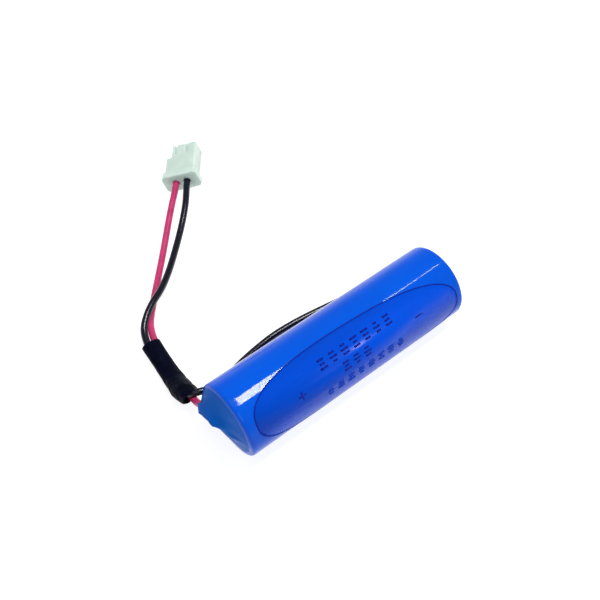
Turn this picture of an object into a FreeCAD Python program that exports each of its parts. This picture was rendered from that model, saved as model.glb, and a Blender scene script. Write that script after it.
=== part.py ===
"""Wrapped cylindrical lithium cell with two flying leads and a two way crimp connector.

The cell lies along X on the surface z = 0: its negative end is at +X, its positive end at -X.
Millimetres throughout. The leads lie behind and beside the cell, on the +Y side.
"""
import FreeCAD, Part
import os
from math import cos, pi, sin, tan

import Sketcher

Vector = FreeCAD.Vector

# Driving dimensions: each can be changed by itself.
DIMENSIONS = {
    # cell
    "can_radius": 7.1,
    "can_wall": 0.3,
    "can_length": 48.8,
    "can_round": 0.7,
    "mouth_round": 0.25,
    "can_bottom_x": 25.45,
    "jacket_wall": 0.12,
    "jacket_lip_radius": 5.0,
    "sleeve_wall": 0.18,
    "sleeve_lip_radius": 5.4,
    "tail_base_radius": 6.4,
    "tail_reach": 2.55,
    "tail_half_width": 1.7,
    "tail_half_height": 1.4,
    "tail_offset_y": 3.7,
    "lead_exit_clearance": 0.08,
    # electrodes
    "anode_wall": 0.85,
    "separator_wall": 0.2,
    "winding_clearance": 0.05,
    "collector_radius": 1.1,
    "collector_depth": 35.0,
    "bottom_insulator_thick": 0.4,
    "top_insulator_thick": 0.5,
    "electrode_length": 38.0,
    # header
    "header_depth": 0.3,
    "header_thick": 0.9,
    "glass_radius": 2.0,
    "pin_radius": 0.5,
    "pin_below_header": 3.0,
    "ring_thick": 0.25,
    "cap_radius": 2.4,
    "cap_wall": 0.25,
    "cap_height": 1.1,
    # terminals
    "tab_thick": 0.12,
    "tab_width": 3.0,
    "positive_tab_length": 4.4,
    "negative_tab_length": 6.0,
    "end_disc_thick": 0.15,
    "solder_length": 1.6,
    "solder_width": 1.8,
    "positive_solder_height": 0.75,
    "negative_solder_height": 0.63,
    # label
    "label_thick": 0.05,
    "label_half_length": 23.1,
    "label_half_width": 6.1,
    "label_centre_x": 1.2,
    "label_angle": 151.5,
    "label_tilt": 2.2,
    # leads
    "lead_radius": 0.7,
    "strand_radius": 0.31,
    "strip_length": 2.3,
    # bundling tube
    "tube_half_width": 1.88,
    "tube_half_height": 1.12,
    "tube_wall": 0.27,
    # connector
    "plug_x": 4.75,
    "plug_y": 56.15,
    "plug_z": 3.22,
    "plug_heading": 51.0,
    "plug_roll": -18.0,
    "pitch": 2.5,
    "plug_length": 10.0,
    "plug_half_width": 3.3,
    "plug_half_depth": 1.8,
    "flange_thick": 1.5,
    "flange_half_width": 4.0,
    "flange_half_depth": 2.25,
    "flange_chamfer": 0.6,
    "key_step": 1.1,
    "key_length": 3.6,
    "groove_length": 2.8,
    "groove_depth": 0.35,
    "groove_width": 0.45,
    "cavity_side": 1.5,
    "entry_radius": 0.8,
    "entry_depth": 2.6,
    "window_length": 1.8,
    "window_width": 0.9,
    "window_start": 4.6,
    "window_overlap": 0.1,
    "insertion_depth": 2.4,
    "contact_side": 1.4,
    "contact_wall": 0.22,
    "contact_length": 4.4,
    "barrel_length": 1.5,
    "barrel_wall": 0.2,
    "crimp_clearance": 0.01,
}

# Routes of the leads, end to end: from the cell's terminal to the crimp in the connector.
RED_ROUTE = [
    (-24.98, 2.6, 7.65),
    (-25.12, 5.6, 6.7),
    (-24.6, 9.1, 2.98),
    (-23.7, 16.4, 1.15),
    (-22.33, 28.24, 1.0),
    (-17.68, 34.06, 0.72),
    (-9.3, 43.07, 0.75),
    (-1.21, 51.8, 2.2),
    (3.071, 55.966, 2.834),
    (5.336, 58.763, 2.834),
]
BLACK_ROUTE = [
    (26.3, 2.7, 5.45),
    (26.78, 6.9, 2.5),
    (24.2, 11.4, 0.75),
    (14.8, 12.0, 0.72),
    (-0.5, 12.7, 0.72),
    (-12.2, 11.85, 0.8),
    (-18.0, 9.8, 2.3),
    (-21.9, 8.7, 4.75),
    (-26.1, 10.9, 4.42),
    (-25.15, 16.6, 1.2),
    (-23.98, 28.19, 1.25),
    (-19.78, 32.12, 2.85),
    (-13.48, 35.63, 2.15),
    (-4.33, 44.42, 1.3),
    (1.51, 49.95, 3.0),
    (4.919, 54.469, 3.606),
    (7.184, 57.267, 3.606),
]

# The bundling tube: centre, direction and growth of each section, from its mouth to its far end.
TUBE_SECTIONS = [
    ((-24.85, 10.5, 3.57), (-0.1, 0.93, -0.36), 0.5, 0.86),
    ((-24.86, 13.4, 2.42), (0.0, 0.93, -0.36), 0.35, 0.7),
    ((-24.45, 16.4, 1.52), (0.1, 0.98, -0.15), 0.15, 0.26),
    ((-24.1, 19.4, 1.2), (0.11, 0.994, 0.0), 0.0, 0.04),
    ((-23.75, 22.7, 1.2), (0.11, 0.994, 0.0), 0.0, 0.04),
    ((-23.35, 26.0, 1.2), (0.11, 0.994, 0.0), 0.0, 0.04),
]

# An arc takes up this share of the shorter of its two runs.
BEND_SHARE = 0.45
# The label's outline: 2 would be an ellipse, and more is squarer.
OVAL_POWER = 2.5
OVAL_POINTS = 48
# How far a cutting solid runs past what it cuts.
CUT_MARGIN = 1.0

doc = FreeCAD.newDocument("wrapped_cell")
sheet = doc.addObject("Spreadsheet::Sheet", "Sizes")
parts = {}


class Size:
    """A value of the sheet, or a sum of such values, with the expression that gives it."""

    def __init__(self, value, text):
        self.value = value
        self.text = text

    def joined(self, other, sign, value):
        text = other.text if isinstance(other, Size) else repr(float(other))
        return Size(value, "(%s %s %s)" % (self.text, sign, text))

    def __add__(self, other):
        return self.joined(other, "+", self.value + number(other))

    def __sub__(self, other):
        return self.joined(other, "-", self.value - number(other))

    def __mul__(self, other):
        return self.joined(other, "*", self.value * number(other))

    def __neg__(self):
        return Size(-self.value, "(-1 * %s)" % self.text)


def number(item):
    return item.value if isinstance(item, Size) else float(item)


def fill_sheet():
    for row, (name, value) in enumerate(DIMENSIONS.items(), start=1):
        sheet.set("A%d" % row, name)
        sheet.set("B%d" % row, str(value))
        sheet.setAlias("B%d" % row, name)
    doc.recompute()


def size(name):
    return Size(float(sheet.get(name)), "Sizes.%s" % name)


def bind(item, prop, value):
    """Set a property from a Size, so that it follows the sheet."""
    item.setExpression(prop, value.text)


# ---------------------------------------------------------------- sketches and bodies


def new_body(label):
    body = doc.addObject("PartDesign::Body", label)
    body.Label = label
    return body


def origin_plane(body, role):
    return next(item for item in body.Origin.OriginFeatures if item.Role == role)


def sketch_on(body, role, offset=None):
    sketch = body.newObject("Sketcher::SketchObject", body.Label + "_sketch")
    sketch.AttachmentSupport = (origin_plane(body, role), [""])
    sketch.MapMode = "FlatFace"
    if offset is not None:
        bind(sketch, "AttachmentOffset.Base.z", offset)
    return sketch


def fix_point(sketch, geometry, position, across, up, only_across=False):
    """Tie a sketch point to the sheet by its two coordinates."""
    wanted = (("DistanceX", across, -2), ("DistanceY", up, -1))
    for kind, value, axis in wanted[: 1 if only_across else 2]:
        if not isinstance(value, Size) and value == 0:
            sketch.addConstraint(Sketcher.Constraint("PointOnObject", geometry, position, axis))
            continue
        index = sketch.addConstraint(
            Sketcher.Constraint(kind, -1, 1, geometry, position, number(value))
        )
        if isinstance(value, Size):
            bind(sketch, "Constraints[%d]" % index, value)


def draw_outline(sketch, outline):
    """Close an outline of (across, up) corners; a corner with two more values starts an arc
    about that centre, which runs to the next corner."""
    count = len(outline)
    ends = []
    for i, corner in enumerate(outline):
        after = outline[(i + 1) % count]
        start = Vector(number(corner[0]), number(corner[1]), 0)
        end = Vector(number(after[0]), number(after[1]), 0)
        if len(corner) == 2:
            index = sketch.addGeometry(Part.LineSegment(start, end))
            ends.append((index, 1, 2))
            continue
        centre = Vector(number(corner[2]), number(corner[3]), 0)
        turn = (start - centre).cross(end - centre).z
        first, last = (start, end) if turn > 0 else (end, start)
        circle = Part.Circle(centre, Vector(0, 0, 1), (start - centre).Length)
        arc = Part.ArcOfCircle(circle, circle.parameter(first), circle.parameter(last))
        index = sketch.addGeometry(arc)
        ends.append((index, 1, 2) if turn > 0 else (index, 2, 1))
    for i, (index, _, end_position) in enumerate(ends):
        next_index, next_start, _ = ends[(i + 1) % count]
        sketch.addConstraint(
            Sketcher.Constraint("Coincident", index, end_position, next_index, next_start)
        )
    for (index, start_position, _), corner in zip(ends, outline):
        fix_point(sketch, index, start_position, corner[0], corner[1])
        if len(corner) == 4:
            fix_point(sketch, index, 3, corner[2], corner[3], only_across=True)


def draw_circle(sketch, across, up, radius):
    centre = Vector(number(across), number(up), 0)
    index = sketch.addGeometry(Part.Circle(centre, Vector(0, 0, 1), number(radius)))
    fix_point(sketch, index, 3, across, up)
    rule = sketch.addConstraint(Sketcher.Constraint("Radius", index, number(radius)))
    bind(sketch, "Constraints[%d]" % rule, radius)


def raise_to_axis(item):
    """Lift a piece drawn about the X axis to the height of the cell's axis."""
    bind(item, "Placement.Base.z", axis_height)


def turned(label, outline):
    """A piece turned about the cell's axis from an outline of (x, radius) corners."""
    body = new_body(label)
    sketch = sketch_on(body, "XZ_Plane")
    draw_outline(sketch, outline)
    spin = body.newObject("PartDesign::Revolution", label + "_turned")
    spin.Profile = sketch
    spin.ReferenceAxis = (sketch, ["H_Axis"])
    spin.Angle = 360
    raise_to_axis(body)
    parts[label] = body
    return body


def washer(label, x_low, x_high, outer, inner=0):
    corners = [(x_low, inner), (x_high, inner), (x_high, outer), (x_low, outer)]
    return turned(label, corners)


def rectangle(low_across, high_across, low_up, high_up):
    return [
        (low_across, low_up),
        (high_across, low_up),
        (high_across, high_up),
        (low_across, high_up),
    ]


def pad(body, sketch, length):
    item = body.newObject("PartDesign::Pad", body.Label + "_pad")
    item.Profile = sketch
    bind(item, "Length", length)
    return item


def pocket(body, sketch, length, down=False):
    """Cut by a length along the sketch's own direction, or down, against it."""
    item = body.newObject("PartDesign::Pocket", body.Label + "_pocket")
    item.Profile = sketch
    item.Reversed = not down
    bind(item, "Length", length)
    return item


def plain(label, shape):
    """A piece whose shape comes from Part's own functions."""
    item = doc.addObject("Part::Feature", label)
    item.Label = label
    item.Shape = shape
    parts[label] = item
    return item


# ---------------------------------------------------------------- the cell, from the can inwards

fill_sheet()

can_radius = size("can_radius")
can_bottom = size("can_bottom_x")
can_top = can_bottom - size("can_length")
jacket_radius = can_radius + size("jacket_wall")
sleeve_radius = jacket_radius + size("sleeve_wall")
axis_height = sleeve_radius
bore = can_radius - size("can_wall")
floor_inside = can_bottom - size("can_wall")
gap = size("winding_clearance")


def film(label, low, high, inner, wall, corners, lips):
    """A film wrapped on a rounded cylinder and turned in over both of its ends.

    low, high: the ends that it is wrapped over; inner: the radius that it is wrapped on;
    corners: the roundings of those ends; lips: how far in the film reaches at each end.
    """
    outer = inner + wall
    bend_low = low + corners[0]
    bend_high = high - corners[1]
    turn_low = inner - corners[0]
    turn_high = inner - corners[1]
    return turned(
        label,
        [
            (low - wall, lips[0]),
            (low - wall, turn_low, bend_low, turn_low),
            (bend_low, outer),
            (bend_high, outer, bend_high, turn_high),
            (high + wall, turn_high),
            (high + wall, lips[1]),
            (high, lips[1]),
            (high, turn_high, bend_high, turn_high),
            (bend_high, inner),
            (bend_low, inner, bend_low, turn_low),
            (low, turn_low),
            (low, lips[0]),
        ],
    )


def build_can():
    mouth = size("mouth_round")
    heel = size("can_round")
    turned(
        "can",
        [
            (can_top, bore),
            (can_top, can_radius - mouth, can_top + mouth, can_radius - mouth),
            (can_top + mouth, can_radius),
            (can_bottom - heel, can_radius, can_bottom - heel, can_radius - heel),
            (can_bottom, can_radius - heel),
            (can_bottom, 0),
            (floor_inside, 0),
            (floor_inside, bore),
        ],
    )


def build_electrodes():
    low_insulator = floor_inside - size("bottom_insulator_thick")
    electrode_top = low_insulator - size("electrode_length")
    separator_outer = bore - size("anode_wall") - gap
    separator_inner = separator_outer - size("separator_wall")
    core = size("collector_radius")
    neck = size("pin_radius")
    collector_low = electrode_top + size("collector_depth")
    cover_top = electrode_top - size("top_insulator_thick")
    washer("bottom_insulator", low_insulator, floor_inside, bore)
    washer("lithium_anode", electrode_top, low_insulator, bore, bore - size("anode_wall"))
    washer("separator", electrode_top, low_insulator, separator_outer, separator_inner)
    turned(
        "carbon_cathode",
        [
            (electrode_top, core),
            (electrode_top, separator_inner - gap),
            (low_insulator, separator_inner - gap),
            (low_insulator, 0),
            (collector_low, 0),
            (collector_low, core),
        ],
    )
    turned(
        "current_collector",
        [
            (pin_inner_end, 0),
            (pin_inner_end, neck),
            (electrode_top, neck),
            (electrode_top, core),
            (collector_low, core),
            (collector_low, 0),
        ],
    )
    washer("top_insulator", cover_top, electrode_top, bore - gap, neck + gap)


def build_header():
    plate_top = can_top + size("header_depth")
    plate_bottom = plate_top + size("header_thick")
    ring_top = plate_top - size("ring_thick")
    cap_top = can_top - size("cap_height")
    cap_inside = cap_top + size("cap_wall")
    cap_bore = size("cap_radius") - size("cap_wall")
    pin = size("pin_radius")
    glass = size("glass_radius")
    washer("header_plate", plate_top, plate_bottom, bore, glass)
    washer("glass_seal", plate_top, plate_bottom, glass, pin)
    washer("feedthrough_pin", cap_inside, pin_inner_end, pin)
    washer("insulating_ring", ring_top, plate_top, bore - gap, glass)
    turned(
        "positive_cap",
        [
            (cap_top, 0),
            (cap_top, size("cap_radius")),
            (ring_top, size("cap_radius")),
            (ring_top, cap_bore),
            (cap_inside, cap_bore),
            (cap_inside, 0),
        ],
    )


def build_wrappings():
    """The inner jacket, the outer sleeve and the disc that keeps the positive end apart."""
    wall = size("jacket_wall")
    corners = (size("mouth_round"), size("can_round"))
    lip = size("jacket_lip_radius")
    film("inner_jacket", can_top, can_bottom, can_radius, wall, corners, (lip, lip))
    corners = (corners[0] + wall, corners[1] + wall)
    base = size("tail_base_radius")
    lips = (base, size("sleeve_lip_radius"))
    low = can_top - wall
    film("outer_sleeve", low, can_bottom + wall, jacket_radius, size("sleeve_wall"), corners, lips)
    add_tail(parts["outer_sleeve"], low - size("sleeve_wall"), base)
    washer(
        "positive_end_disc",
        low - size("end_disc_thick"),
        low,
        base - gap,
        size("cap_radius") + gap,
    )


def tail_section(body, place, radii, offset_y):
    sketch = sketch_on(body, "YZ_Plane", place)
    if radii[0] is radii[1]:
        draw_circle(sketch, 0, 0, radii[0])
        return sketch
    centre = Vector(number(offset_y), 0, 0)
    across = Vector(number(offset_y) + number(radii[0]), 0, 0)
    up = Vector(number(offset_y), number(radii[1]), 0)
    sketch.addGeometry(Part.Ellipse(across, up, centre))
    fix_point(sketch, 0, 3, offset_y, 0)
    return sketch


def add_tail(sleeve, base_x, base_radius):
    """Draw the sleeve's free end into a closed tail behind the cap, holed for the red lead."""
    wall = size("sleeve_wall")
    tip_x = base_x - size("tail_reach")
    half_width = size("tail_half_width")
    half_height = size("tail_half_height")
    offset_y = size("tail_offset_y")
    outer = sleeve.newObject("PartDesign::AdditiveLoft", "tail_outside")
    outer.Profile = tail_section(sleeve, base_x, (base_radius + wall,) * 2, 0)
    outer.Sections = [tail_section(sleeve, tip_x, (half_width, half_height), offset_y)]
    inner = sleeve.newObject("PartDesign::SubtractiveLoft", "tail_inside")
    inner.Profile = tail_section(sleeve, base_x, (base_radius,) * 2, 0)
    inner.Sections = [
        tail_section(sleeve, tip_x + wall, (half_width - wall, half_height - wall), offset_y)
    ]
    exit_route = RED_ROUTE[:4]
    hole_radius = number(size("lead_radius") + size("lead_exit_clearance"))
    drill = doc.addObject("Part::Feature", "lead_exit")
    drill.Shape = swept_ring(rounded_path(exit_route)[0], exit_route, hole_radius)
    combine("Part::Cut", "outer_sleeve", sleeve, drill)


def combine(kind, label, base, tool):
    item = doc.addObject(kind, label)
    item.Base = base
    item.Tool = tool
    item.Label = label
    parts[label] = item
    return item


def block(name, low, lengths):
    """A Part::Box whose corner and three lengths follow the sheet."""
    item = doc.addObject("Part::Box", name)
    for prop, value in zip(("Length", "Width", "Height"), lengths):
        bind(item, prop, value)
    for prop, value in zip(("x", "y", "z"), low):
        bind(item, "Placement.Base.%s" % prop, value)
    return item


def build_terminals():
    """Nickel tabs welded on both ends of the cell, and the solder that holds the leads."""
    thick = size("tab_thick")
    width = size("tab_width")
    ends = {
        "positive": (can_top - size("cap_height"), -1, "red"),
        "negative": (can_bottom, 1, "black"),
    }
    for name, (face, outward, colour) in ends.items():
        length = size(name + "_tab_length")
        near = face if outward > 0 else face - thick
        label = name + "_tab"
        corner = (near, length * -0.5, axis_height - width * 0.5)
        parts[label] = block(label, corner, (thick, length, width))
        height = size(name + "_solder_height")
        top = face + thick if outward > 0 else face - thick - height
        strand = bare_end(colour)
        long = size("solder_length")
        wide = size("solder_width")
        corner = (
            top,
            Size(strand.y, repr(strand.y)) - long * 0.5,
            Size(strand.z, repr(strand.z)) - wide * 0.5,
        )
        bead = block(name + "_bead", corner, (height, long, wide))
        combine("Part::Cut", name + "_solder", bead, parts[colour + "_conductor"])


def build_label():
    """A thin oval label, curved round the sleeve and facing up towards the near side."""
    outside = doc.addObject("Part::Cylinder", "label_outside")
    inside = doc.addObject("Part::Cylinder", "label_inside")
    half = size("label_half_length")
    centre = number(size("label_centre_x"))
    for item, radius in ((outside, sleeve_radius + size("label_thick")), (inside, sleeve_radius)):
        bind(item, "Radius", radius)
        bind(item, "Height", (half + CUT_MARGIN) * 2)
        low_end = Vector(centre - half.value - CUT_MARGIN, 0, axis_height.value)
        item.Placement = FreeCAD.Placement(low_end, FreeCAD.Rotation(Vector(0, 1, 0), 90))
    ring = doc.addObject("Part::Cut", "label_ring")
    ring.Base = outside
    ring.Tool = inside
    cutter = doc.addObject("Part::Feature", "label_outline")
    cutter.Shape = oval_prism(half.value, number(size("label_half_width")), sleeve_radius.value * 2)
    facing = FreeCAD.Rotation(Vector(1, 0, 0), number(size("label_angle")) - 90)
    tilt = FreeCAD.Rotation(Vector(0, 0, 1), -number(size("label_tilt")))
    cutter.Placement = FreeCAD.Placement(Vector(centre, 0, axis_height.value), facing * tilt)
    combine("Part::Common", "oval_label", ring, cutter)


def oval_prism(half_length, half_width, height):
    """An upright prism on a rounded oblong, |x/a|^n + |y/b|^n = 1."""
    points = []
    for i in range(OVAL_POINTS):
        angle = 2 * pi * i / OVAL_POINTS
        across = abs(cos(angle)) ** (2 / OVAL_POWER) * (1 if cos(angle) >= 0 else -1)
        up = abs(sin(angle)) ** (2 / OVAL_POWER) * (1 if sin(angle) >= 0 else -1)
        points.append(Vector(half_length * across, half_width * up, 0))
    curve = Part.BSplineCurve()
    curve.interpolate(Points=points, PeriodicFlag=True)
    return Part.Face(Part.Wire(curve.toShape())).extrude(Vector(0, 0, height))


# ---------------------------------------------------------------- leads and bundling tube


def rounded_path(points):
    """Straight runs joined by tangent arcs, each as large as its two runs allow."""
    edges = []
    radii = []
    here = Vector(*points[0])
    for before, corner, after in zip(points, points[1:], points[2:]):
        corner = Vector(*corner)
        back = Vector(*before) - corner
        ahead = Vector(*after) - corner
        reach = BEND_SHARE * min(back.Length, ahead.Length)
        turn = pi - back.getAngle(ahead)
        radius = reach / tan(turn / 2)
        back.normalize()
        ahead.normalize()
        start = corner + back * reach
        end = corner + ahead * reach
        inward = (back + ahead).normalize()
        middle = corner + inward * (radius / cos(turn / 2) - radius)
        edges.append(Part.LineSegment(here, start).toShape())
        edges.append(Part.Arc(start, middle, end).toShape())
        radii.append(round(radius, 1))
        here = end
    edges.append(Part.LineSegment(here, Vector(*points[-1])).toShape())
    return Part.Wire(edges), radii


def swept_ring(path, points, outer, inner=0.0):
    """Sweep a round section, hollow or not, along a path that starts at the first point."""
    start = Vector(*points[0])
    along = Vector(*points[1]) - start
    disc = Part.Face(Part.Wire(Part.makeCircle(outer, start, along)))
    if inner:
        hole = Part.Face(Part.Wire(Part.makeCircle(inner, start, along)))
        disc = disc.cut(hole).Faces[0]
    return path.makePipe(disc)


def stripped(points, length):
    """The same route, made longer at both ends by the bare strand."""
    first, second = Vector(*points[0]), Vector(*points[1])
    last, previous = Vector(*points[-1]), Vector(*points[-2])
    start = first + (first - second).normalize() * length
    end = last + (last - previous).normalize() * number(size("barrel_length"))
    return [tuple(start)] + points[1:-1] + [tuple(end)]


def bare_end(colour):
    """The middle of the stripped strand at the cell's end of a lead."""
    points = ROUTES[colour]
    first, second = Vector(*points[0]), Vector(*points[1])
    return first + (first - second).normalize() * (number(size("strip_length")) / 2)


def build_leads():
    outer = number(size("lead_radius"))
    inner = number(size("strand_radius"))
    for colour, points in ROUTES.items():
        path, radii = rounded_path(points)
        insulation = swept_ring(path, points, outer, inner)
        section = pi * (outer ** 2 - inner ** 2)
        print(colour, "lead: length %.1f" % path.Length, "radii", radii)
        print(colour, "lead: volume over section times length %.4f"
              % (insulation.Volume / (section * path.Length)))
        plain(colour + "_insulation", insulation)
        longer = stripped(points, number(size("strip_length")))
        strand_edges = extended_edges(path, longer)
        plain(colour + "_conductor", swept_ring(strand_edges, longer, inner))


def extended_edges(path, longer):
    """The lead's own path with its first and last straight run made longer."""
    edges = path.Edges
    first = Part.LineSegment(Vector(*longer[0]), edges[0].Vertexes[-1].Point).toShape()
    last = Part.LineSegment(edges[-1].Vertexes[0].Point, Vector(*longer[-1])).toShape()
    return Part.Wire([first] + edges[1:-1] + [last])


def stadium(section, shrink):
    """A flat oval wire across the bundling tube."""
    centre, along, wider, taller = section
    along = Vector(*along).normalize()
    side = along.cross(Vector(0, 0, 1)).normalize()
    up = side.cross(along)
    centre = Vector(*centre)
    half_height = number(size("tube_half_height")) + taller - shrink
    flat = number(size("tube_half_width")) + wider - shrink - half_height
    right, left = centre + side * flat, centre - side * flat
    rise = up * half_height
    return Part.Wire(
        [
            Part.LineSegment(left + rise, right + rise).toShape(),
            Part.Arc(right + rise, right + side * half_height, right - rise).toShape(),
            Part.LineSegment(right - rise, left - rise).toShape(),
            Part.Arc(left - rise, left - side * half_height, left + rise).toShape(),
        ]
    )


def build_tube():
    wall = number(size("tube_wall"))
    outer = Part.makeLoft([stadium(item, 0) for item in TUBE_SECTIONS], True, False)
    inner = Part.makeLoft([stadium(item, wall) for item in TUBE_SECTIONS], True, False)
    plain("bundling_tube", outer.cut(inner))


# ---------------------------------------------------------------- connector


def plug_placement():
    place = Vector(number(size("plug_x")), number(size("plug_y")), number(size("plug_z")))
    turn = FreeCAD.Rotation(number(size("plug_heading")), 0, number(size("plug_roll")))
    return FreeCAD.Placement(place, turn)


def build_housing():
    """Drawn with its wire face at x = 0 and its mating face at x = plug_length."""
    body = new_body("connector_housing")
    parts["connector_housing"] = body
    wide = size("flange_half_width")
    deep = size("flange_half_depth")
    cut = size("flange_chamfer")
    flange = sketch_on(body, "YZ_Plane")
    draw_outline(
        flange,
        [
            (cut - wide, -deep),
            (wide - cut, -deep),
            (wide, cut - deep),
            (wide, deep - cut),
            (wide - cut, deep),
            (cut - wide, deep),
            (-wide, deep - cut),
            (-wide, cut - deep),
        ],
    )
    pad(body, flange, size("flange_thick"))
    side = size("plug_half_width")
    half = size("plug_half_depth")
    length = size("plug_length")
    step = side - size("key_step")
    main = sketch_on(body, "YZ_Plane")
    draw_outline(main, rectangle(-side, step, -half, half))
    pad(body, main, length)
    key = sketch_on(body, "YZ_Plane")
    draw_outline(key, rectangle(step, side, -half, half))
    pad(body, key, length - size("key_length"))
    for hand in (-0.5, 0.5):
        centre = size("pitch") * hand
        slot = size("cavity_side") * 0.5
        entry = sketch_on(body, "YZ_Plane")
        draw_circle(entry, centre, 0, size("entry_radius"))
        pocket(body, entry, size("entry_depth"))
        cavity = sketch_on(body, "YZ_Plane", size("entry_depth"))
        draw_outline(cavity, rectangle(centre - slot, centre + slot, -slot, slot))
        pocket(body, cavity, length - size("entry_depth"))
        groove = sketch_on(body, "YZ_Plane", length - size("groove_length"))
        breadth = size("groove_width") * 0.5
        low = half - size("groove_depth")
        draw_outline(groove, rectangle(centre - breadth, centre + breadth, low, half))
        pocket(body, groove, size("groove_length"))
        window = sketch_on(body, "XY_Plane", size("window_overlap") - slot)
        start = size("window_start")
        breadth = size("window_width") * 0.5
        end = start + size("window_length")
        draw_outline(window, rectangle(start, end, centre - breadth, centre + breadth))
        pocket(body, window, half, down=True)
    body.Placement = plug_placement()


def build_contacts():
    """One crimp terminal on each lead: a barrel round the strand and a box for the pin."""
    start = size("insertion_depth")
    barrel_outer = size("strand_radius") + size("barrel_wall")
    side = size("contact_side")
    inside = side - size("contact_wall") * 2
    box_start = start + size("barrel_length")
    for colour, hand in (("red", 0.5), ("black", -0.5)):
        label = colour + "_crimp_terminal"
        centre = size("pitch") * hand
        body = new_body(label)
        parts[label] = body
        ring = sketch_on(body, "YZ_Plane", start + size("crimp_clearance"))
        draw_circle(ring, centre, 0, barrel_outer)
        draw_circle(ring, centre, 0, size("strand_radius") + size("crimp_clearance"))
        pad(body, ring, size("barrel_length"))
        square = sketch_on(body, "YZ_Plane", box_start)
        corner = rectangle(centre - side * 0.5, centre + side * 0.5, side * -0.5, side * 0.5)
        draw_outline(square, corner)
        pad(body, square, size("contact_length"))
        mouth = sketch_on(body, "YZ_Plane", box_start + size("contact_wall"))
        corner = rectangle(centre - inside * 0.5, centre + inside * 0.5, inside * -0.5, inside * 0.5)
        draw_outline(mouth, corner)
        pocket(body, mouth, size("contact_length"))
        body.Placement = plug_placement()


# ---------------------------------------------------------------- build, check and write

ROUTES = {"red": RED_ROUTE, "black": BLACK_ROUTE}
pin_inner_end = (
    can_top + size("header_depth") + size("header_thick") + size("pin_below_header")
)


def write_parts():
    failed = [item.Label for item in doc.Objects if {"Invalid", "Error"} & set(item.State)]
    broken = [name for name, item in parts.items() if item.Shape.isNull() or not item.Shape.isValid()]
    if failed or broken:
        raise RuntimeError("failed: %s broken: %s" % (failed, broken))
    os.makedirs("parts", exist_ok=True)
    for name, item in parts.items():
        item.Shape.exportStep(os.path.join("parts", name + ".step"))
    print(len(parts), "nodes written")


build_can()
build_electrodes()
build_header()
build_wrappings()
build_leads()
build_terminals()
build_label()
build_tube()
build_housing()
build_contacts()
doc.recompute()
write_parts()
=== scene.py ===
"""The looks of a shrink-wrapped lithium cell with two leads, a bundling tube and a connector.

The cell lies along X with its positive end, where the leads come out, at -X. Sizes are in
millimetres where they are written, and each mesh is made in metres.
"""
import math

import bmesh
import bpy
from mathutils import Matrix, Vector, noise


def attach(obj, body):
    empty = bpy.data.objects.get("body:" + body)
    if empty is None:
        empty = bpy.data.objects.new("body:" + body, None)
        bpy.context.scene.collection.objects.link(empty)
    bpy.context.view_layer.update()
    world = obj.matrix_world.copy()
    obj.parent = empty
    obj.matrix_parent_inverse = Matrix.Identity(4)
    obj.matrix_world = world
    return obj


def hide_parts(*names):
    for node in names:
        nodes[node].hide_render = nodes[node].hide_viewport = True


MM = 0.001
AXIS_HEIGHT = 7.4
SLEEVE_RADIUS = 7.4
TURN = 2 * math.pi

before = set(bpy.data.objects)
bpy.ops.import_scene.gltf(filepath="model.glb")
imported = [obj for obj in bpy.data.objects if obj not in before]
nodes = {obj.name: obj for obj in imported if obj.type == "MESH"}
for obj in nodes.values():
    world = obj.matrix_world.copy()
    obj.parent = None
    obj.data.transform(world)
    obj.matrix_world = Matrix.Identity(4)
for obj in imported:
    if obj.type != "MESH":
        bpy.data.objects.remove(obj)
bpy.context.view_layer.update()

# ---------------------------------------------------------------- materials


class Finish:
    """A material and the nodes that give it its grain, colour and relief."""

    def __init__(self, name, colour, roughness, **sockets):
        self.material = bpy.data.materials.new(name)
        self.material.use_nodes = True
        self.tree = self.material.node_tree
        self.shader = self.tree.nodes["Principled BSDF"]
        self.shader.inputs["Base Color"].default_value = (*colour, 1)
        self.shader.inputs["Roughness"].default_value = roughness
        for socket, value in sockets.items():
            self.shader.inputs[socket.replace("_", " ")].default_value = value
        self.place = self.tree.nodes.new("ShaderNodeTexCoord").outputs["Object"]
        self.relief = None

    def node(self, kind, **inputs):
        made = self.tree.nodes.new(kind)
        for socket, value in inputs.items():
            socket = made.inputs[socket.replace("_", " ")]
            if isinstance(value, bpy.types.NodeSocket):
                self.tree.links.new(value, socket)
            else:
                socket.default_value = value
        return made

    def grain(self, scale, stretch=(1, 1, 1), detail=3.0):
        """Noise over the object's own coordinates; scale is how many cells there are in a mm."""
        mapping = self.node("ShaderNodeMapping", Vector=self.place, Scale=stretch)
        noise_node = self.node(
            "ShaderNodeTexNoise", Vector=mapping.outputs[0], Scale=scale / MM, Detail=detail
        )
        return noise_node.outputs["Fac"]

    def spots(self, scale):
        return self.node("ShaderNodeTexVoronoi", Vector=self.place, Scale=scale / MM).outputs[
            "Distance"
        ]

    def vary(self, source, socket, low, high):
        """Let a number follow a grain, from low to high."""
        spread = self.node(
            "ShaderNodeMapRange", Value=source, From_Min=0.3, From_Max=0.7, To_Min=low, To_Max=high
        )
        self.tree.links.new(spread.outputs[0], self.shader.inputs[socket])
        return self

    def tint(self, source, low, high, start=0.3, end=0.7):
        """Let the colour follow a grain, between two colours."""
        ramp = self.node("ShaderNodeValToRGB", Fac=source)
        for stop, colour, position in zip(ramp.color_ramp.elements, (low, high), (start, end)):
            stop.color = (*colour, 1)
            stop.position = position
        self.tree.links.new(ramp.outputs[0], self.shader.inputs["Base Color"])
        return self

    def bump(self, source, depth, strength=1.0):
        """Raise a relief of a depth in mm, on top of any before it."""
        made = self.node("ShaderNodeBump", Height=source, Distance=depth * MM, Strength=strength)
        if self.relief is not None:
            self.tree.links.new(self.relief, made.inputs["Normal"])
        self.relief = made.outputs[0]
        self.tree.links.new(self.relief, self.shader.inputs["Normal"])
        return self


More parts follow.
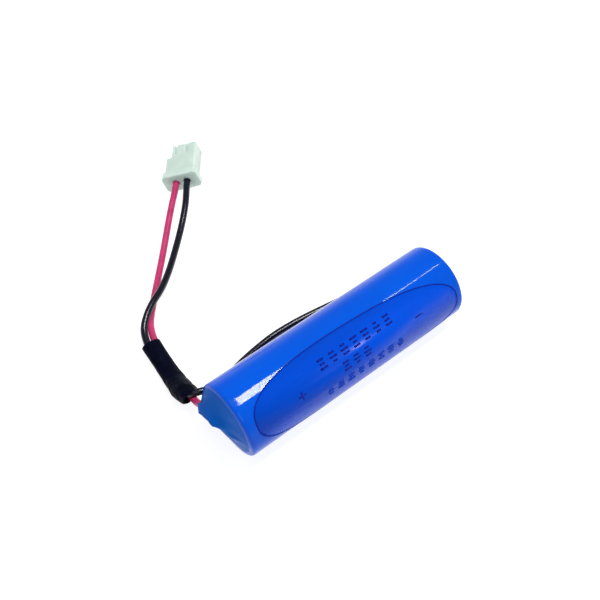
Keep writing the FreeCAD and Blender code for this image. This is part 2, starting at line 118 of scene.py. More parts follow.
FILM_IOR = 1.22
LABEL_IOR = 1.17
END_FILM_IOR = 1.07
VINYL_IOR = 1.3


def film_finish(name, colour, deep, roughness, waviness):
    """Shrink film: faint lines drawn along the cell, slow waves, and a skin like orange peel."""
    film = Finish(name, colour, roughness, IOR=FILM_IOR)
    film.tint(film.grain(0.12, (0.35, 1, 1)), deep, colour)
    film.vary(film.grain(1.6, (0.2, 1, 1), 5), "Roughness", roughness * 0.75, roughness * 1.35)
    film.bump(film.grain(0.22, (0.45, 1, 1), 1), waviness)
    film.bump(film.grain(1.1, (0.06, 1, 1), 2), waviness * 0.12)
    return film.bump(film.grain(6.0, detail=2), 0.0012)


def vinyl_finish(name, colour, deep, roughness):
    """Wire insulation: a smooth satin skin with faint dents from handling."""
    vinyl = Finish(name, colour, roughness, IOR=VINYL_IOR)
    vinyl.shader.inputs["Coat Weight"].default_value = 0.12
    vinyl.shader.inputs["Coat Roughness"].default_value = 0.22
    vinyl.tint(vinyl.grain(0.5), deep, colour)
    vinyl.vary(vinyl.grain(2.5), "Roughness", roughness * 0.8, roughness * 1.25)
    vinyl.bump(vinyl.grain(0.9, detail=2), 0.02)
    return vinyl.bump(vinyl.grain(9.0, detail=2), 0.002)


def metal_finish(name, colour, deep, roughness, stretch=(1, 1, 1), scale=3.0, depth=0.003):
    """Metal with a grain along its stretch, blotched a little by handling."""
    metal = Finish(name, colour, roughness, Metallic=1.0)
    metal.tint(metal.grain(0.8), deep, colour)
    metal.vary(metal.grain(scale, stretch, 5), "Roughness", roughness * 0.7, roughness * 1.4)
    return metal.bump(metal.grain(scale, stretch, 5), depth)


def fibre_finish(name, colour, deep, scale):
    """Pressed board or glass fibre, matt and flecked."""
    board = Finish(name, colour, 0.85)
    board.tint(board.grain(scale, (1, 0.25, 1), 6), deep, colour)
    return board.bump(board.grain(scale, (1, 0.25, 1), 6), 0.02)


BLUE = (0.0, 0.076, 0.54)
DEEP_BLUE = (0.0, 0.062, 0.47)
sleeve_film = film_finish("sleeve_film", BLUE, DEEP_BLUE, 0.075, 0.012)
label_film = film_finish("label_film", (0.0, 0.062, 0.55), (0.0, 0.05, 0.46), 0.22, 0.01)
label_film.shader.inputs["IOR"].default_value = LABEL_IOR
end_film = film_finish("end_film", (0.004, 0.092, 0.43), (0.0, 0.07, 0.36), 0.18, 0.02)
end_film.shader.inputs["IOR"].default_value = END_FILM_IOR
jacket_film = film_finish("jacket_film", (0.01, 0.05, 0.4), (0.005, 0.035, 0.3), 0.2, 0.01)
ink = Finish("dark_blue_ink", (0.0, 0.006, 0.19), 0.5, IOR=1.2)
ink.tint(ink.grain(4.0, detail=4), (0.0, 0.012, 0.27), (0.0, 0.004, 0.15)).bump(ink.grain(8.0), 0.002)
faint_ink = Finish("faint_blue_ink", (0.0, 0.02, 0.33), 0.5, IOR=1.2)
faint_ink.tint(faint_ink.grain(4.0, detail=4), (0.0, 0.05, 0.5), (0.0, 0.012, 0.26))
faint_ink.bump(faint_ink.grain(8.0), 0.002)
red_vinyl = vinyl_finish("red_vinyl", (0.46, 0.032, 0.13), (0.35, 0.018, 0.09), 0.36)
black_vinyl = vinyl_finish("black_vinyl", (0.002, 0.003, 0.011), (0.001, 0.0015, 0.006), 0.22)
shrink_tube = Finish("shrink_tube", (0.0005, 0.001, 0.006), 0.38, IOR=1.1)
shrink_tube.tint(shrink_tube.grain(0.7), (0.0006, 0.001, 0.004), (0.0015, 0.0025, 0.012))
shrink_tube.vary(shrink_tube.grain(1.2), "Roughness", 0.34, 0.55)
shrink_tube.bump(shrink_tube.grain(0.8, detail=3), 0.09).bump(shrink_tube.grain(6.0), 0.006)
nylon = Finish("natural_nylon", (0.45, 0.55, 0.5), 0.34, IOR=1.35)
nylon.shader.inputs["Subsurface Weight"].default_value = 0.55
nylon.shader.inputs["Subsurface Radius"].default_value = (1.0, 1.1, 1.0)
nylon.shader.inputs["Subsurface Scale"].default_value = 0.0012
nylon.tint(nylon.grain(0.35, detail=2), (0.42, 0.53, 0.47), (0.48, 0.58, 0.53))
nylon.vary(nylon.grain(3.0), "Roughness", 0.28, 0.42)
nylon.bump(nylon.grain(1.5, detail=4), 0.006)
steel = metal_finish("plated_steel", (0.62, 0.61, 0.58), (0.5, 0.5, 0.48), 0.3, (1, 0.1, 1))
nickel = metal_finish("nickel_strip", (0.66, 0.63, 0.57), (0.55, 0.53, 0.48), 0.24, (1, 0.08, 1))
solder = metal_finish("solder", (0.7, 0.7, 0.71), (0.55, 0.55, 0.56), 0.28, scale=1.5, depth=0.01)
tin = metal_finish("tinned_contact", (0.68, 0.66, 0.6), (0.55, 0.53, 0.48), 0.3, (0.15, 1, 1))
lithium = metal_finish("lithium_foil", (0.6, 0.6, 0.63), (0.4, 0.4, 0.43), 0.5, (0.2, 1, 1))
copper = metal_finish("tinned_copper", (0.8, 0.62, 0.5), (0.7, 0.68, 0.66), 0.3, scale=2.0)
carbon = Finish("pressed_carbon", (0.02, 0.02, 0.02), 0.9)
carbon.tint(carbon.grain(3.0), (0.008, 0.008, 0.008), (0.035, 0.035, 0.035))
carbon.bump(carbon.spots(2.0), 0.08)
glass_fibre = fibre_finish("glass_fibre", (0.82, 0.82, 0.78), (0.6, 0.6, 0.57), 3.0)
fish_paper = fibre_finish("fish_paper", (0.3, 0.42, 0.38), (0.22, 0.32, 0.28), 2.0)
seal_glass = Finish("seal_glass", (0.25, 0.42, 0.36), 0.12, IOR=1.52)
seal_glass.shader.inputs["Transmission Weight"].default_value = 0.3
seal_glass.tint(seal_glass.grain(1.0), (0.16, 0.3, 0.26), (0.3, 0.48, 0.42))

CAD_FINISHES = {
    "can": steel,
    "header_plate": steel,
    "feedthrough_pin": steel,
    "current_collector": steel,
    "lithium_anode": lithium,
    "separator": glass_fibre,
    "bottom_insulator": glass_fibre,
    "top_insulator": glass_fibre,
    "carbon_cathode": carbon,
    "glass_seal": seal_glass,
    "insulating_ring": fish_paper,
    "positive_end_disc": fish_paper,
    "positive_cap": nickel,
    "positive_tab": nickel,
    "inner_jacket": jacket_film,
}
for node_name, finish in CAD_FINISHES.items():
    nodes[node_name].data.materials.clear()
    nodes[node_name].data.materials.append(finish.material)

# ---------------------------------------------------------------- making pieces

DOUBLES = 0.001 * MM

def piece(name, mesh, slot, *finishes, smooth=True):
    """Make a finished bmesh a piece that rides with the cell."""
    data = bpy.data.meshes.new(name)
    mesh.to_mesh(data)
    mesh.free()
    return dress(bpy.data.objects.new(name, data), slot, *finishes, smooth=smooth)


def dress(made, slot, *finishes, smooth=True):
    """Give a piece its finishes and let it ride with the cell."""
    for finish in finishes:
        made.data.materials.append(finish.material)
    if smooth and made.type == "MESH":
        made.data.shade_smooth()
    bpy.context.scene.collection.objects.link(made)
    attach(made, "root")
    return made


def thicken(made, depth, offset=-1.0):
    wall = made.modifiers.new("wall", "SOLIDIFY")
    wall.thickness = depth * MM
    wall.offset = offset
    return made


def smoothed(made, levels):
    rounding = made.modifiers.new("rounding", "SUBSURF")
    rounding.levels = rounding.render_levels = levels
    return made


def around(x, angle, radius):
    """A point on the cell: x along it and the angle from +Y towards +Z, in degrees."""
    angle = math.radians(angle)
    height = AXIS_HEIGHT + radius * math.sin(angle)
    return Vector((x, radius * math.cos(angle), height)) * MM


def rounded_copy(name, node_name, slot, finish, width):
    """The CAD solid again with its sharp edges rounded, as moulding or pressing leaves them."""
    made = bmesh.new()
    made.from_mesh(nodes[node_name].data)
    bmesh.ops.remove_doubles(made, verts=made.verts, dist=DOUBLES)
    bmesh.ops.dissolve_limit(
        made, angle_limit=math.radians(1.0), verts=made.verts, edges=made.edges
    )
    sharp = [edge for edge in made.edges if edge.calc_face_angle(0) > math.radians(28)]
    bmesh.ops.bevel(
        made,
        geom=sharp,
        offset=width * MM,
        segments=3,
        profile=0.5,
        affect="EDGES",
        clamp_overlap=True,
        material=-1,
    )
    made = piece(name, made, slot, finish)
    made.data.set_sharp_from_angle(angle=math.radians(40))
    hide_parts(node_name)
    return made


# ---------------------------------------------------------------- the sleeve

RIM_X = -23.95
RIM_RADIUS = 7.02
RIM_SLACK = 0.38
BARREL_END = -23.1
NECK = Vector((-25.05, 5.1, 6.75))
NECK_AXIS = Vector((0.02, 0.74, -0.67)).normalized()
NECK_RADIUS = 0.98
LIP_REACH = 0.9
LIP_SPAN = 0.2
TENT_STEPS = 16
# Raised lines under the film, across Y and Z: the lead with its solder, and the tab's near half.
LEAD_LINE = (Vector((0.9, 8.1)), Vector((5.1, 6.75)))
TAB_LINE = (Vector((-2.3, 6.3)), Vector((0.9, 8.1)))
# How far each line lifts the film, and how far the lift reaches to either side.
LEAD_LIFT, LEAD_SPREAD = 0.72, 1.2
TAB_LIFT, TAB_SPREAD = 0.42, 0.9
RIDGE_LIFT, RIDGE_SPREAD = 0.12, 3.4
SLEEVE_STEPS = 192
WALL_CUTS = 40
# The film past the negative end, drawn in and puckered inside this radius.
PUCKER_X = 24.6
PUCKER_RADIUS = 7.2
PUCKER_SPAN = 1.8


def distance_to_line(point, line):
    start, end = line
    span = end - start
    share = min(1, max(0, (point - start).dot(span) / span.length_squared))
    return (point - start - span * share).length


def underside(angle):
    """0 round the top of the rim, 1 round its lower half, where the film lies tight."""
    return 0.5 - 0.5 * math.tanh(4 * math.sin(angle) + 0.4)


def tent_point(angle, share):
    """The film from the rim, share 0, to the neck, share 1, and past it along the lip."""
    out = Vector((0, math.cos(angle), math.sin(angle)))
    rim = Vector((RIM_X + RIM_SLACK * underside(angle), 0, AXIS_HEIGHT)) + out * RIM_RADIUS
    side = Vector((1, 0, 0)).cross(NECK_AXIS)
    forward = NECK_AXIS.cross(side)
    pleat = 0.1 * math.sin(5 * angle + 0.6) + 0.06 * math.sin(9 * angle + 2.0)
    radius = NECK_RADIUS * (1 + pleat)
    neck = NECK + (forward * out.dot(NECK_AXIS) + side * out.dot(side)) * radius
    if share > 1:
        flare = 1 + 0.25 * pleat
        return NECK + (neck - NECK) * flare + NECK_AXIS * LIP_REACH * (share - 1) / LIP_SPAN
    point = rim.lerp(neck, share)
    across = Vector((point.y, point.z))
    rise = math.sin(math.pi * min(share, 0.93)) ** 0.5
    from_lead = distance_to_line(across, LEAD_LINE)
    from_tab = distance_to_line(across, TAB_LINE)
    ridge = min(from_lead, from_tab)
    point.x -= LEAD_LIFT * rise * math.exp(-((from_lead / LEAD_SPREAD) ** 2))
    point.x -= TAB_LIFT * rise * math.exp(-((from_tab / TAB_SPREAD) ** 2))
    point.x -= RIDGE_LIFT * rise * share * math.exp(-((ridge / RIDGE_SPREAD) ** 2))
    point.x -= (0.12 + 0.36 * underside(angle - 0.6)) * math.sin(math.pi * share ** 1.4)
    fold = math.sin(3 * angle + 0.9) + 0.6 * math.sin(7 * angle + 1.0) + 0.35 * math.sin(12 * angle)
    point.x -= 0.07 * fold * math.sin(math.pi * share) * share
    dip = math.exp(-(((share - 0.3) / 0.16) ** 2) - ((angle - math.radians(150)) / 0.7) ** 2)
    point.x += 0.16 * dip
    return point


def build_sleeve():
    """The blue film: straight wall, drawn in over the negative end, tented at the positive end."""
    profile = [
        (25.62, 5.35),
        (25.72, 5.6),
        (25.75, 6.4),
        (25.73, 6.84),
        (25.64, 7.1),
        (25.48, 7.28),
        (25.22, 7.38),
        (24.9, SLEEVE_RADIUS),
        (BARREL_END, SLEEVE_RADIUS),
        (-23.45, 7.375),
        (-23.72, 7.28),
        (-23.88, 7.15),
        (RIM_X, RIM_RADIUS),
    ]
    profile += [(RIM_X - i, RIM_RADIUS) for i in range(1, TENT_STEPS + 4)]
    made = bmesh.new()
    corners = [made.verts.new((x * MM, 0, radius * MM)) for x, radius in profile]
    lines = [made.edges.new(pair) for pair in zip(corners, corners[1:])]
    wall = lines[profile.index((BARREL_END, SLEEVE_RADIUS)) - 1]
    bmesh.ops.subdivide_edges(made, edges=[wall], cuts=WALL_CUTS)
    bmesh.ops.spin(
        made,
        geom=made.verts[:] + made.edges[:],
        cent=(0, 0, 0),
        axis=(1, 0, 0),
        angle=TURN,
        steps=SLEEVE_STEPS,
        use_merge=True,
    )
    bmesh.ops.remove_doubles(made, verts=made.verts, dist=DOUBLES)
    corner_is_tent = set()
    for corner in made.verts:
        x, y, z = corner.co / MM
        angle = math.atan2(z, y)
        if x < RIM_X - 0.5:
            corner.co = tent_point(angle, (RIM_X - x) / TENT_STEPS) * MM
            corner_is_tent.add(corner)
            continue
        if x < BARREL_END:
            x += RIM_SLACK * underside(angle) * (BARREL_END - x) / (BARREL_END - RIM_X)
        out = Vector((0, math.cos(angle), math.sin(angle)))
        radius = math.hypot(y, z)
        wave = noise.noise(Vector((x * 0.16, 2.2 * out.y, 2.2 * out.z)))
        radius += 0.022 * wave
        if x > PUCKER_X and radius < PUCKER_RADIUS:
            pucker = math.sin(17 * angle + 2 * wave) + 0.6 * math.sin(29 * angle + 1.0)
            x += 0.05 * pucker * (PUCKER_RADIUS - radius) / PUCKER_SPAN
            radius += 0.14 * (PUCKER_RADIUS - radius) / PUCKER_SPAN * math.sin(6 * angle + 1.3 + wave)
        corner.co = (Vector((x, 0, AXIS_HEIGHT)) + out * radius) * MM
    for face in made.faces:
        if all(corner in corner_is_tent for corner in face.verts):
            face.material_index = 1
    bmesh.ops.recalc_face_normals(made, faces=made.faces)
    sleeve = piece("shrink_sleeve", made, "sleeve_film", sleeve_film, end_film)
    thicken(sleeve, 0.16)
    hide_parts("outer_sleeve")


# ---------------------------------------------------------------- the label and its print

LABEL_CENTRE = (1.2, 151.5)
LABEL_HALF = (23.1, 7.16)
LABEL_POWER = 2.5
LABEL_TILT = math.radians(2.2)
LABEL_RADIUS = SLEEVE_RADIUS + 0.05
OUTLINE_WIDTH = 0.2
DEGREES_PER_MM = 360 / (TURN * SLEEVE_RADIUS)


def wrap(made, radius, centre):
    """Bend a flat mesh drawn in mm, across X and Y, on to the cell; its Y runs up the side."""
    for corner in made.verts:
        x, y, z = corner.co
        corner.co = around(x + centre[0], centre[1] - y * DEGREES_PER_MM, radius + z)


def cut_in_strips(made, half, step):
    """Cut a flat mesh across Y every step, so that it can bend."""
    for i in range(-int(half / step), int(half / step) + 1):
        bmesh.ops.bisect_plane(
            made,
            geom=made.verts[:] + made.edges[:] + made.faces[:],
            dist=1e-5,
            plane_co=(0, i * step + 0.01, 0),
            plane_no=(0, 1, 0),
        )


def tilt(made):
    """Turn the flat label a little, as it was stuck on."""
    turning = Matrix.Rotation(-LABEL_TILT, 3, "Z")
    bmesh.ops.rotate(made, verts=made.verts, cent=(0, 0, 0), matrix=turning)


def oval(made):
    """The label's outline as one flat face, in mm."""
    bmesh.ops.create_circle(made, cap_ends=True, radius=1, segments=160)
    for corner in made.verts:
        across, up = corner.co.x, corner.co.y
        corner.co.x = math.copysign(abs(across) ** (2 / LABEL_POWER), across) * LABEL_HALF[0]
        corner.co.y = math.copysign(abs(up) ** (2 / LABEL_POWER), up) * LABEL_HALF[1]


def face_outwards(made):
    """Point the faces of an open sheet on the cell away from its axis."""
    for face in made.faces:
        outward = face.calc_center_median() - Vector((0, 0, AXIS_HEIGHT * MM))
        outward.x = 0
        if face.normal.dot(outward) < 0:
            face.normal_flip()


def build_label():
    """The oval film that carries the print."""
    made = bmesh.new()
    oval(made)
    tilt(made)
    cut_in_strips(made, LABEL_HALF[1] + 1.2, 0.3)
    wrap(made, LABEL_RADIUS, LABEL_CENTRE)
    made.normal_update()
    face_outwards(made)
    label = piece("oval_film_label", made, "label_film", label_film)
    thicken(label, 0.05)
    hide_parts("oval_label")


def bar(made, x, y, length, height, number=0):
    """One printed bar, flat, in mm."""
    placing = Matrix.Translation((x, y, 0)) @ Matrix.Diagonal((length / 2, height / 2, 1, 1))
    steps = max(2, round(height / 0.3))
    new = bmesh.ops.create_grid(made, x_segments=1, y_segments=steps, size=1, matrix=placing)
    for face in {face for corner in new["verts"] for face in corner.link_faces}:
        face.material_index = number


# Each row of the generic print: its first mark, pitch and height in mm, its angle round the
# cell, how many marks it has and its ink. A mark is three dashes, one under the other.
PRINT_ROWS = (
    (-6.3, 2.5, 2.0, 124.5, 7, 0),
    (-2.2, 2.4, 1.8, 146.0, 3, 0),
    (-6.6, 2.35, 1.6, 168.0, 8, 1),
)
DASH_LENGTHS = (1.0, 0.62, 0.86, 0.5, 0.94, 0.7, 0.8)
PLUS_PLACE = (-12.2, 146.0)
MINUS_PLACE = (14.9, 146.0)
MARK_SIZE = 1.6
STROKE = 0.36


def build_print():
    """Rows of plain dashes, a plus, a minus and the line round the label's edge."""
    made = bmesh.new()
    oval(made)
    edge = bmesh.ops.inset_region(
        made, faces=made.faces, thickness=OUTLINE_WIDTH, use_even_offset=True, use_boundary=True
    )["faces"]
    middle = [face for face in made.faces if face not in edge]
    bmesh.ops.delete(made, geom=middle, context="FACES")
    tilt(made)
    for first, pitch, height, angle, count, number in PRINT_ROWS:
        middle = (LABEL_CENTRE[1] - angle) / DEGREES_PER_MM
        for i in range(count):
            x = first + i * pitch - LABEL_CENTRE[0]
            for level in range(3):
                length = pitch * 0.66 * DASH_LENGTHS[(3 * i + level + number) % 7]
                bar(made, x, middle + (level - 1) * height * 0.39, length, STROKE, number)
    for place in (PLUS_PLACE, MINUS_PLACE):
        y = (LABEL_CENTRE[1] - place[1]) / DEGREES_PER_MM
        bar(made, place[0] - LABEL_CENTRE[0], y, MARK_SIZE, STROKE * 0.8)
    x, y = PLUS_PLACE[0] - LABEL_CENTRE[0], (LABEL_CENTRE[1] - PLUS_PLACE[1]) / DEGREES_PER_MM
    bar(made, x, y, STROKE * 0.8, MARK_SIZE)
    wrap(made, LABEL_RADIUS + 0.02, LABEL_CENTRE)
    made.normal_update()
    face_outwards(made)
    marks = piece("printed_marks", made, "label_film", ink, faint_ink)
    thicken(marks, 0.015)


# ---------------------------------------------------------------- leads

LEAD_DIAMETER = 1.4
# Routes from the cell's terminals to the crimps. Beside the barrel the black lead bows out a
# little differently from its CAD solid.
RED_ROUTE = (
    (-24.98, 2.6, 7.65),
    (-25.12, 5.6, 6.7),
    (-24.6, 9.1, 2.98),
    (-23.7, 16.4, 1.15),
    (-22.33, 28.24, 1.0),
    (-17.68, 34.06, 0.72),
    (-9.3, 43.07, 0.75),
    (-1.21, 51.8, 2.2),
    (3.071, 55.966, 2.834),
    (5.336, 58.763, 2.834),
)
BLACK_ROUTE = (
    (26.3, 2.7, 5.45),
    (26.78, 6.9, 2.5),
    (24.2, 10.2, 0.75),
    (14.8, 11.0, 0.72),
    (-1.0, 13.4, 0.72),
    (-10.5, 12.4, 0.8),
    (-18.0, 9.8, 2.3),
    (-21.9, 8.7, 4.75),
    (-26.1, 10.9, 4.42),
    (-25.15, 16.6, 1.2),
    (-23.98, 28.19, 1.25),
    (-19.78, 32.12, 2.85),
    (-13.48, 35.63, 2.15),
    (-4.33, 44.42, 1.3),
    (1.51, 49.95, 3.0),
    (4.919, 54.469, 3.606),
    (7.184, 57.267, 3.606),
)


def lead(name, route, slot, finish):
    """One insulated wire on a smooth curve through its route's bends."""
    curve = bpy.data.curves.new(name, "CURVE")
    curve.dimensions = "3D"
    spline = curve.splines.new("NURBS")
    spline.points.add(len(route) - 1)
    for point, place in zip(spline.points, route):
        point.co = (*(Vector(place) * MM), 1)
    spline.order_u = 3
    spline.use_endpoint_u = True
    spline.resolution_u = 16
    curve.bevel_depth = LEAD_DIAMETER / 2 * MM
    curve.bevel_resolution = 8
    curve.use_fill_caps = True
    return dress(bpy.data.objects.new(name, curve), slot, finish)


def frame_along(centre, along, up=(0, 0, 1)):
    """Axes on a line: across, up and along it, as a matrix in metres."""
    along = Vector(along).normalized()
    across = along.cross(Vector(up)).normalized()
    raised = across.cross(along)
    axes = Matrix((across, raised, along)).transposed().to_4x4()
    return Matrix.Translation(Vector(centre) * MM) @ axes


WIRES = 7
WIRE_RADIUS = 0.1
LAY_RADIUS = 0.2
LAY_TURN = 2.2
STRAND_RINGS = 10


def build_strand(name, start, end):
    """The bare end of a lead: wires twisted together from one point to another."""
    made = bmesh.new()
    start, end = Vector(start), Vector(end)
    along = end - start
    placing = frame_along(start, along, (0.3, 0.2, 1))
    for i in range(WIRES):
        reach = 0.0 if i == 0 else LAY_RADIUS
        turn = TURN * i / (WIRES - 1)
        for j in range(STRAND_RINGS + 1):
            share = j / STRAND_RINGS
            angle = turn + LAY_TURN * share
            offset = Matrix.Translation(
                Vector((reach * math.cos(angle), reach * math.sin(angle), along.length * share)) * MM
            )
            if j == 0:
                ring = bmesh.ops.create_circle(
                    made, cap_ends=True, radius=WIRE_RADIUS * MM, segments=8, matrix=placing @ offset
                )["verts"]
                edges = list({edge for corner in ring for edge in corner.link_edges})
                before = placing @ offset
                continue
            new = bmesh.ops.extrude_edge_only(made, edges=edges)["geom"]
            ring = [item for item in new if isinstance(item, bmesh.types.BMVert)]
            edges = [item for item in new if isinstance(item, bmesh.types.BMEdge)]
            edges = [edge for edge in edges if all(corner in ring for corner in edge.verts)]
            here = placing @ offset
            bmesh.ops.transform(made, matrix=here @ before.inverted(), verts=ring)
            before = here
        bmesh.ops.contextual_create(made, geom=edges)
    bmesh.ops.recalc_face_normals(made, faces=made.faces)
    return piece(name, made, "copper", copper)


# ---------------------------------------------------------------- bundling tube

# Centre, direction, half width, half height and roll in degrees of each section, from the
# mouth beside the cell to the far end.
TUBE_SECTIONS = (
    ((-24.85, 10.0, 3.8), (-0.12, 0.98, 0.05), 1.95, 1.7, 14),
    ((-24.85, 11.0, 3.36), (-0.08, 0.96, -0.2), 2.05, 1.8, 8),
    ((-24.88, 12.2, 2.85), (-0.02, 0.93, -0.36), 2.15, 1.82, 4),
    ((-24.84, 13.5, 2.36), (0.0, 0.93, -0.34), 2.2, 1.72, 2),
    ((-24.66, 15.0, 1.86), (0.06, 0.96, -0.25), 2.1, 1.5, 0),
    ((-24.44, 16.5, 1.48), (0.1, 0.98, -0.15), 2.02, 1.36, 0),
    ((-24.25, 18.1, 1.28), (0.11, 0.99, -0.05), 1.92, 1.22, -2),
    ((-24.1, 19.7, 1.2), (0.11, 0.994, 0.0), 1.9, 1.15, -3),
    ((-23.93, 21.3, 1.19), (0.11, 0.994, 0.0), 1.88, 1.14, -2),
    ((-23.75, 22.9, 1.2), (0.11, 0.994, 0.0), 1.88, 1.13, 0),
    ((-23.55, 24.6, 1.2), (0.11, 0.994, 0.0), 1.9, 1.13, 2),
    ((-23.4, 25.9, 1.21), (0.11, 0.994, 0.0), 1.93, 1.14, 3),
)


def build_tube():
    """Heat-shrink, flat on both leads, creased where it bends and puckered at its cut ends."""
    made = bmesh.new()
    before = None
    for centre, along, width, height, roll in TUBE_SECTIONS:
        here = frame_along(centre, along)
        here = here @ Matrix.Rotation(math.radians(roll), 4, "Z")
        here = here @ Matrix.Diagonal((width * MM, height * MM, MM, 1))
        if before is None:
            new = bmesh.ops.create_circle(made, radius=1, segments=28, matrix=here)
            ring = new["verts"]
            edges = list({edge for corner in ring for edge in corner.link_edges})
        else:
            new = bmesh.ops.extrude_edge_only(made, edges=edges)["geom"]
            ring = [item for item in new if isinstance(item, bmesh.types.BMVert)]
            edges = [item for item in new if isinstance(item, bmesh.types.BMEdge)]
            edges = [edge for edge in edges if all(corner in ring for corner in edge.verts)]
            bmesh.ops.transform(made, matrix=here @ before.inverted(), verts=ring)
        before = here
    bmesh.ops.subdivide_edges(made, edges=made.edges, cuts=3, use_grid_fill=True, smooth=0.3)
    bmesh.ops.recalc_face_normals(made, faces=made.faces)
    made.normal_update()
    for corner in made.verts:
        place = corner.co / MM
        crumple = 1.0 if place.y < 15 else max(0.3, 1 - (place.y - 15) / 4)
        stretched = Vector((place.x * 0.9, place.y * 0.45, place.z * 0.9))
        crease = noise.noise(stretched + Vector((3, 1, 2)))
        fine = noise.noise(place * 2.3)
        depth = crumple * (0.22 * abs(crease) + 0.05 * fine)
        corner.co -= corner.normal * depth * MM
    tube = piece("heat_shrink_tube", made, "shrink_tube", shrink_tube)
    thicken(tube, 0.25)
    smoothed(tube, 1)
    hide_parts("bundling_tube")
    return tube


# ---------------------------------------------------------------- terminals


def build_solder(name, node_name, centre, radii, along):
    """A bead of solder that has flowed out over its tab."""
    made = bmesh.new()
    bmesh.ops.create_icosphere(made, subdivisions=4, radius=1)
    outward = Vector(along).normalized()
    placing = frame_along(centre, outward, (0, 0, 1))
    for corner in made.verts:
        lump = 1 + 0.08 * noise.noise(corner.co * 1.7)
        skirt = 1.25 if corner.co.z < -0.35 else 1.0
        corner.co.x *= radii[0] * lump * skirt
        corner.co.y *= radii[1] * lump * skirt
        corner.co.z = max(-0.42, corner.co.z) * radii[2] * lump
        corner.co *= MM
    bmesh.ops.transform(made, matrix=placing, verts=made.verts)
    bead = piece(name, made, "solder", solder)
    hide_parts(node_name)


def build_weld_spots(name, x, centre, spots):
    """The small raised spots that the welding tips leave on a tab."""
    made = bmesh.new()
    for y, z in spots:
        placing = frame_along((x, centre[0] + y, centre[1] + z), (1, 0, 0))
        bmesh.ops.create_cone(
            made,
            cap_ends=True,
            segments=20,
            radius1=0.34 * MM,
            radius2=0.22 * MM,
            depth=0.05 * MM,
            matrix=placing,
        )
    piece(name, made, "nickel", nickel)


# ---------------------------------------------------------------- putting it together

MOULDED_EDGE = 0.14
PRESSED_EDGE = 0.05
STRIP_EDGE = 0.03

build_sleeve()
build_label()
build_print()
tube = build_tube()
connector = rounded_copy("crimp_housing", "connector_housing", "nylon", nylon, MOULDED_EDGE)
red_contact = rounded_copy("red_contact", "red_crimp_terminal", "tin", tin, PRESSED_EDGE)
black_contact = rounded_copy("black_contact", "black_crimp_terminal", "tin", tin, PRESSED_EDGE)
rounded_copy("negative_strip", "negative_tab", "nickel", nickel, STRIP_EDGE)
build_solder(
    "negative_solder_bead", "negative_solder", (25.72, 1.76, 6.1), (0.95, 0.85, 0.6), (1, 0, 0)
)
build_solder(
    "positive_solder_bead", "positive_solder", (-24.72, 1.5, 8.0), (0.9, 0.85, 0.6), (-1, 0, 0)
)
build_weld_spots("weld_spots", 25.58, (-1.7, 7.4), ((-0.5, 0.6), (-0.5, -0.6), (0.6, 0.0)))

red_lead = lead("red_lead", RED_ROUTE, "red_insulation", red_vinyl)
black_lead = lead("black_lead", BLACK_ROUTE, "black_insulation", black_vinyl)
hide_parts("red_insulation", "red_conductor")
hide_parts("black_insulation", "black_conductor")
red_strand = build_strand("red_bare_strand", (-24.98, 2.75, 7.6), (-24.9, 0.9, 8.0))
black_strand = build_strand("black_bare_strand", (26.28, 2.85, 5.35), (25.95, 0.9, 6.6))

# ---------------------------------------------------------------- floor, light and camera

scene = bpy.context.scene
scene.view_settings.view_transform = "Standard"

floor_mesh = bmesh.new()
bmesh.ops.create_grid(floor_mesh, x_segments=1, y_segments=1, size=3.0)
floor_data = bpy.data.meshes.new("floor")
floor_mesh.to_mesh(floor_data)
floor_mesh.free()
floor = bpy.data.objects.new("floor", floor_data)
scene.collection.objects.link(floor)
paper = Finish("white_paper", (0.38, 0.38, 0.38), 0.9)
paper.bump(paper.grain(0.2), 0.02)
paper.shader.inputs["Specular IOR Level"].default_value = 0.0
paper.shader.inputs["Emission Color"].default_value = (1, 1, 1, 1)
paper.shader.inputs["Emission Strength"].default_value = 0.82
floor.data.materials.append(paper.material)

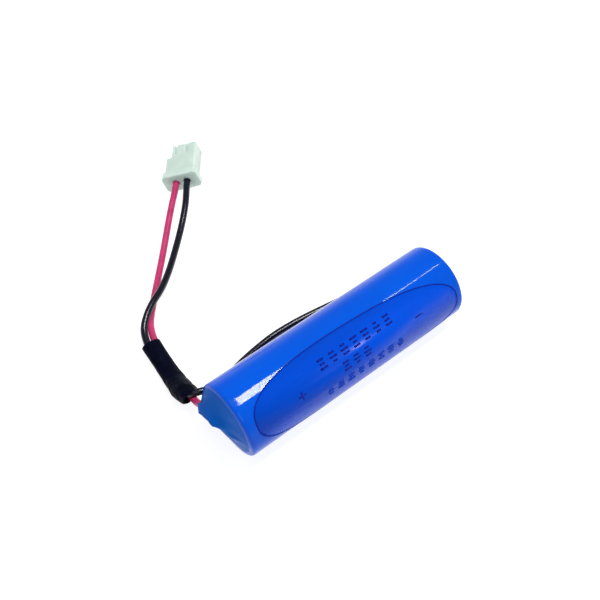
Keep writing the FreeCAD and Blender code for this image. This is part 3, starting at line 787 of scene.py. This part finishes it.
world = bpy.data.worlds.new("studio")
world.use_nodes = True
sky = world.node_tree
direction = sky.nodes.new("ShaderNodeTexCoord")
split = sky.nodes.new("ShaderNodeSeparateXYZ")
shade = sky.nodes.new("ShaderNodeValToRGB")
sky.links.new(direction.outputs["Generated"], split.inputs[0])
sky.links.new(split.outputs["Z"], shade.inputs[0])
sky.links.new(shade.outputs[0], sky.nodes["Background"].inputs["Color"])
SKY_STOPS = ((0.0, 1.0), (0.1, 0.8), (0.3, 0.4), (1.0, 0.32))
while len(shade.color_ramp.elements) < len(SKY_STOPS):
    shade.color_ramp.elements.new(0.5)
for stop, (position, grey) in zip(shade.color_ramp.elements, SKY_STOPS):
    stop.position = position
    stop.color = (grey, grey, grey * 1.02, 1)
sky.nodes["Background"].inputs["Strength"].default_value = 1.0
scene.world = world


def softbox(name, place, target, width, height, watts):
    """A rectangular lamp that faces its target; sizes in metres."""
    data = bpy.data.lights.new(name, "AREA")
    data.shape = "RECTANGLE"
    data.size, data.size_y = width, height
    data.energy = watts
    made = bpy.data.objects.new(name, data)
    made.location = place
    aim = (Vector(target) - Vector(place)).to_track_quat("-Z", "Y")
    made.rotation_mode = "QUATERNION"
    made.rotation_quaternion = aim
    scene.collection.objects.link(made)


softbox("window_box", (0.165, 0.0, 0.615), (0, 0, 0.01), 0.22, 0.07, 3.6)
softbox("strip_box", (0.29, 0.05, 0.615), (0, 0, 0.01), 0.02, 0.2, 0.7)
softbox("top_fill", (-0.12, 0.08, 0.9), (0, 0.02, 0), 0.5, 0.4, 0.7)
softbox("front_fill", (-0.25, -0.55, 0.75), (0, 0.02, 0), 0.5, 0.4, 1.4)

eye = bpy.data.cameras.new("camera")
eye.sensor_width = 36.0
eye.lens = 55.07
eye.clip_start = 0.005
camera = bpy.data.objects.new("camera", eye)
camera.location = (-0.064036, -0.069579, 0.145134)
azimuth, elevation = -0.679995, 0.916497
camera.rotation_mode = "QUATERNION"
look = Vector(
    (
        -math.sin(azimuth) * math.cos(elevation),
        math.cos(azimuth) * math.cos(elevation),
        -math.sin(elevation),
    )
)
camera.rotation_quaternion = look.to_track_quat("-Z", "Y")
scene.collection.objects.link(camera)
scene.camera = camera
